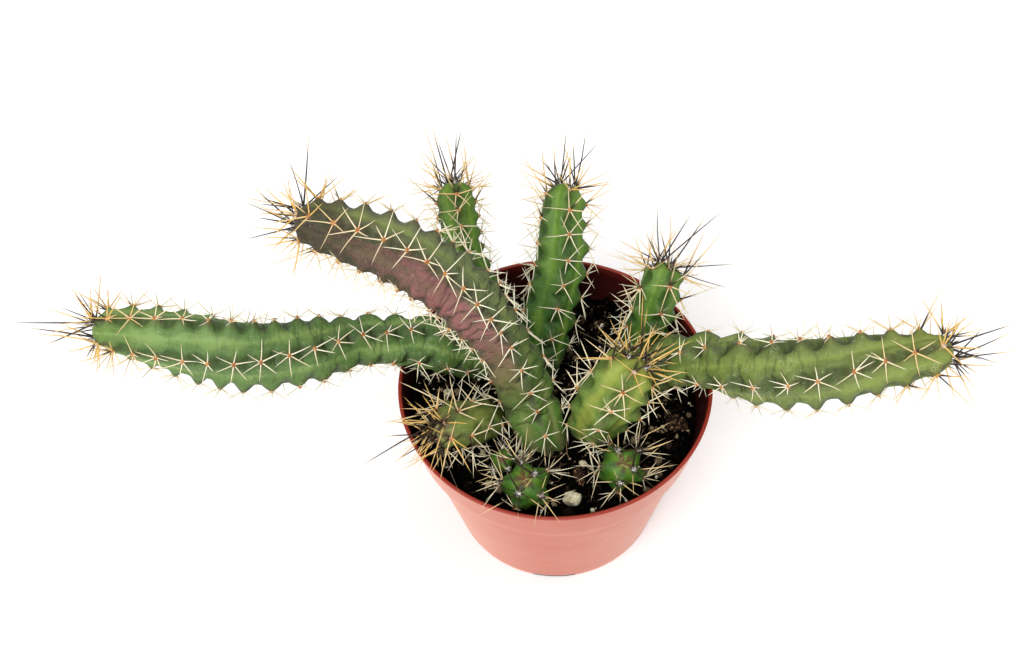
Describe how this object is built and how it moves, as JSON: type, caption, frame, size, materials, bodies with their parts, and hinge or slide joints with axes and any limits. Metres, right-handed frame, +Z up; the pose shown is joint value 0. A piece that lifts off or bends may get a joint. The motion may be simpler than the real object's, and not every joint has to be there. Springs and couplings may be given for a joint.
{
  "type": "potted lady finger cactus",
  "caption": "Potted lady finger cactus: long ribbed spiny stems sprawl from a round terracotta-coloured plastic nursery pot of dark potting soil.",
  "frame": {"origin": "middle of the pot's underside, on the surface it stands on", "axes": "+Z up the pot's axis; +X to the right and -Y to the front as in the picture, so the two long stems lie along X"},
  "size_m": [0.2974, 0.1383, 0.1569],
  "materials": {
    "pot_plastic": "terracotta-coloured moulded polypropylene, semi-matt, faint scuffs",
    "soil": "dark moist peat and composted bark, rough",
    "perlite": "expanded perlite, matt off-white",
    "bark": "bark chip, matt brown",
    "stem_green": "waxy green cactus skin, semi-gloss, with cream spines",
    "stem_purple": "sun-flushed purple to olive cactus skin, semi-gloss, with cream spines",
    "stem_young": "young yellow-green cactus skin, semi-gloss, with golden spines"
  },
  "bodies": {
    "root": {"pot": "pot_plastic", "soil": "soil", "perlite_front": "perlite", "perlite_left": "perlite", "bark_right": "bark", "bark_front": "bark", "stem_left_long": "stem_green", "stem_arching": "stem_purple", "stem_back_left": "stem_green", "stem_back": "stem_green", "stem_back_right": "stem_green", "stem_right_long": "stem_green", "stem_centre_right": "stem_young", "stem_front_left": "stem_young", "shoot_front": "stem_young", "shoot_front_right": "stem_young", "shoot_small": "stem_young"}
  },
  "joints": []
}
